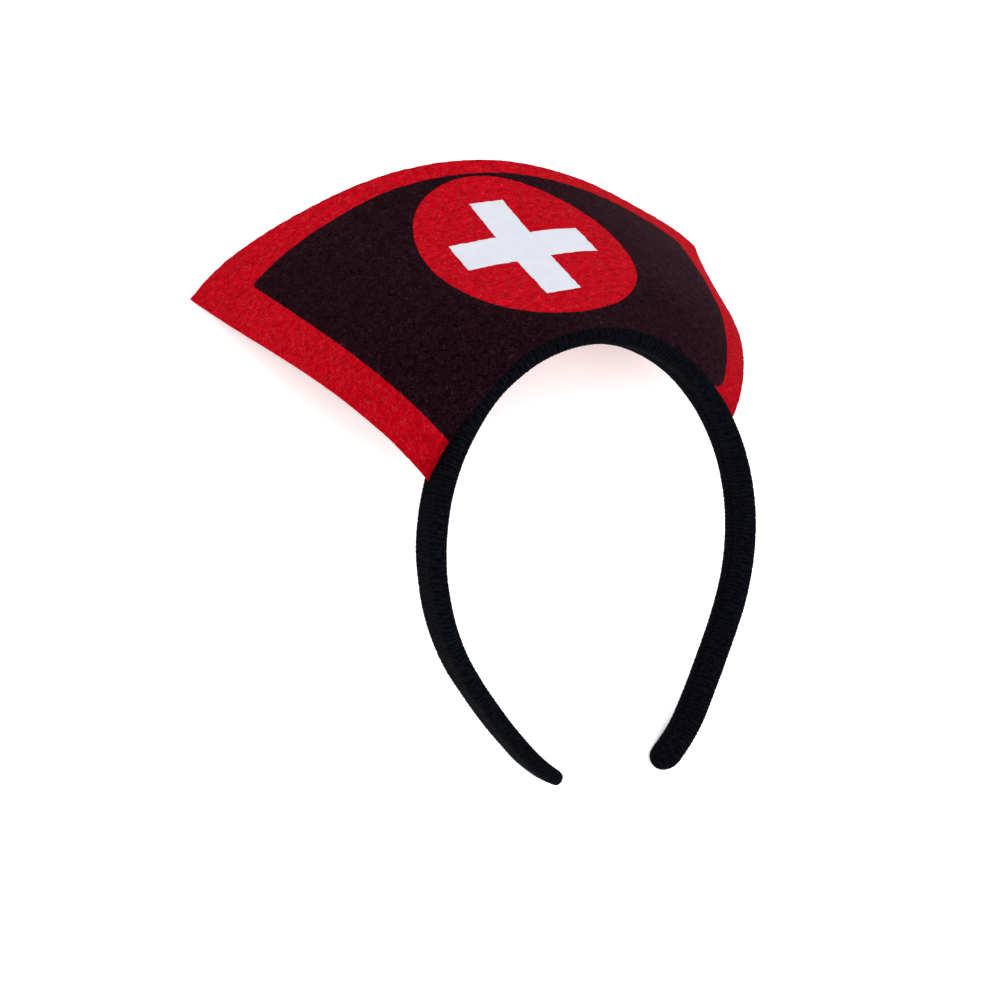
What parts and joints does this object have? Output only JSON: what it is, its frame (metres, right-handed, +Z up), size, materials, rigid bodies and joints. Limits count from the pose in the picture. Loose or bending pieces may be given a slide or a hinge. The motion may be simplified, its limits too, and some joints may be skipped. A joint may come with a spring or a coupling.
{
  "type": "nurse cap on a headband",
  "caption": "Costume nurse cap: an arched red felt front with a printed black panel and a white cross, standing on a fabric-covered headband that clips over the head.",
  "frame": {"origin": "middle of the cap's footprint on the surface that it lies on, at the surface", "axes": "+X across the headband, to the right as seen from the cap's front; +Y from the band's open end towards the felt's upper edge; +Z up"},
  "size_m": [0.1904, 0.2038, 0.0622],
  "materials": {
    "band_fabric": "matt, finely cross-ribbed black fabric over a stiff core",
    "red_felt": "pressed red felt, matt and slightly fuzzy",
    "black_print": "matt near-black ink soaked into the felt",
    "white_print": "matt opaque white ink on the felt"
  },
  "bodies": {
    "root": {"headband": "band_fabric", "felt_front": "red_felt", "printed_panel": "black_print", "printed_cross": "white_print"}
  },
  "joints": []
}
